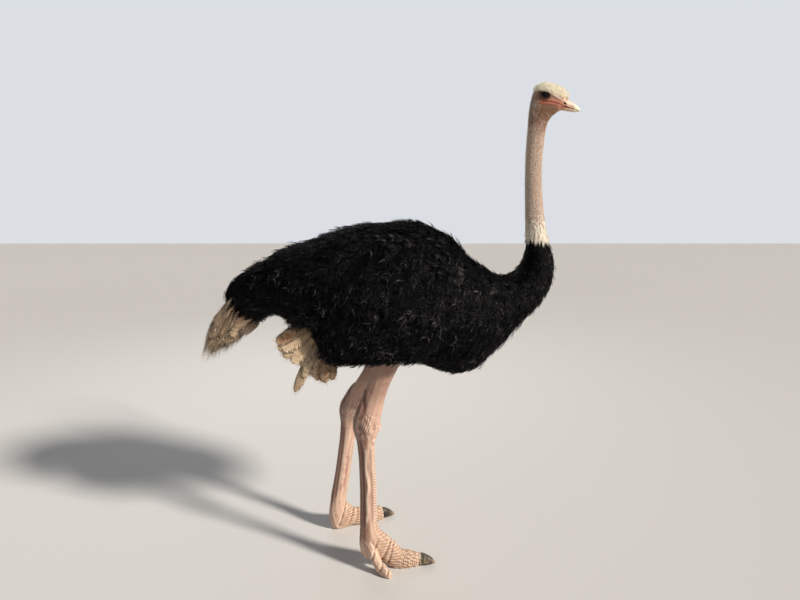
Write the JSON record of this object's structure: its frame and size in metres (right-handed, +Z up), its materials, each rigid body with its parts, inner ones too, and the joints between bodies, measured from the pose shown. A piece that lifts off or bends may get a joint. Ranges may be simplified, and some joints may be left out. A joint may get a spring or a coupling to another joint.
{
  "type": "ostrich",
  "caption": "Life-size model of a standing male ostrich: feathered body, wings and tail, bare neck and legs, looking ahead.",
  "frame": {"origin": "on the floor, under the middle of the bird's box", "axes": "+Z up, the bird faces +X, +Y to its left"},
  "size_m": [1.5876, 0.5802, 2.0567],
  "materials": {
    "black_plumage": "loose, shaggy, soft black feathers with a faint sheen",
    "pale_plumes": "loose dusty off-white plumes with brownish tips",
    "neck_skin": "pinkish skin under short pale down",
    "leg_skin": "bare, wrinkled and scaled pink skin",
    "bill_horn": "smooth tan-pink horn with a pale nail",
    "claw_horn": "worn dark grey horn",
    "eye_dark": "wet, glossy dark brown eye"
  },
  "bodies": {
    "root": {"bill_lower": "bill_horn", "bill_upper": "bill_horn", "claw_left": "claw_horn", "claw_right": "claw_horn", "drumstick_left": "leg_skin", "drumstick_right": "leg_skin", "eye_left": "eye_dark", "eye_right": "eye_dark", "head": "neck_skin", "main_toe_left": "leg_skin", "main_toe_right": "leg_skin", "neck": "neck_skin", "neck_base": "black_plumage", "outer_toe_left": "leg_skin", "outer_toe_right": "leg_skin", "shank_left": "leg_skin", "shank_right": "leg_skin", "tail": "black_plumage", "tail_plumes": "pale_plumes", "trunk": "black_plumage", "wing_left": "black_plumage", "wing_plumes_left": "pale_plumes", "wing_plumes_right": "pale_plumes", "wing_right": "black_plumage"}
  },
  "joints": []
}
